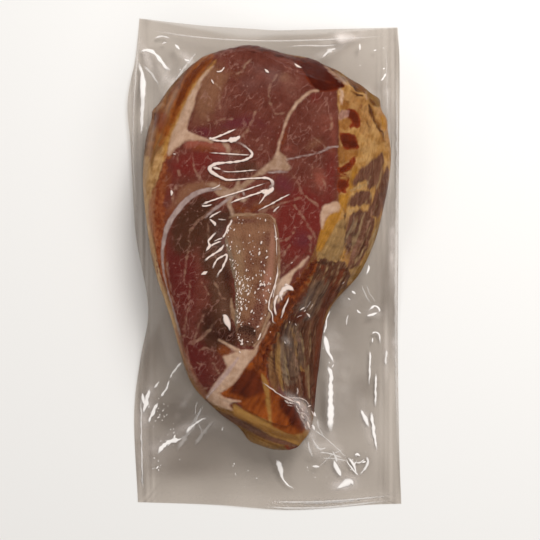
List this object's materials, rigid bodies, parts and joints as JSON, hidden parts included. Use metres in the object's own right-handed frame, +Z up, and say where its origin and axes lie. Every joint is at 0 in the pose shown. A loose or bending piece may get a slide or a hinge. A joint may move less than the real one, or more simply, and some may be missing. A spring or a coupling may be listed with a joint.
{
  "type": "smoked pork shoulder in a vacuum pouch",
  "caption": "Bone-in smoked pork shoulder, sawn lengthwise and lying cut face up, sealed in a clear vacuum pouch with a flat film margin.",
  "frame": {"origin": "on the surface the pack lies on, under the middle of the sealed pouch", "axes": "+Y from the shank end to the butt end along the pouch, +X to the right across it, +Z up out of the sawn face"},
  "size_m": [0.2591, 0.4664, 0.0696],
  "materials": {
    "smoked_meat": "moist cut meat, fat and smoked rind under film",
    "sawn_bone": "spongy sawn bone",
    "clear_film": "clear glossy vacuum film"
  },
  "bodies": {
    "root": {"pork_shoulder": "smoked_meat", "bone": "sawn_bone", "pouch_margin": "clear_film"}
  },
  "joints": []
}
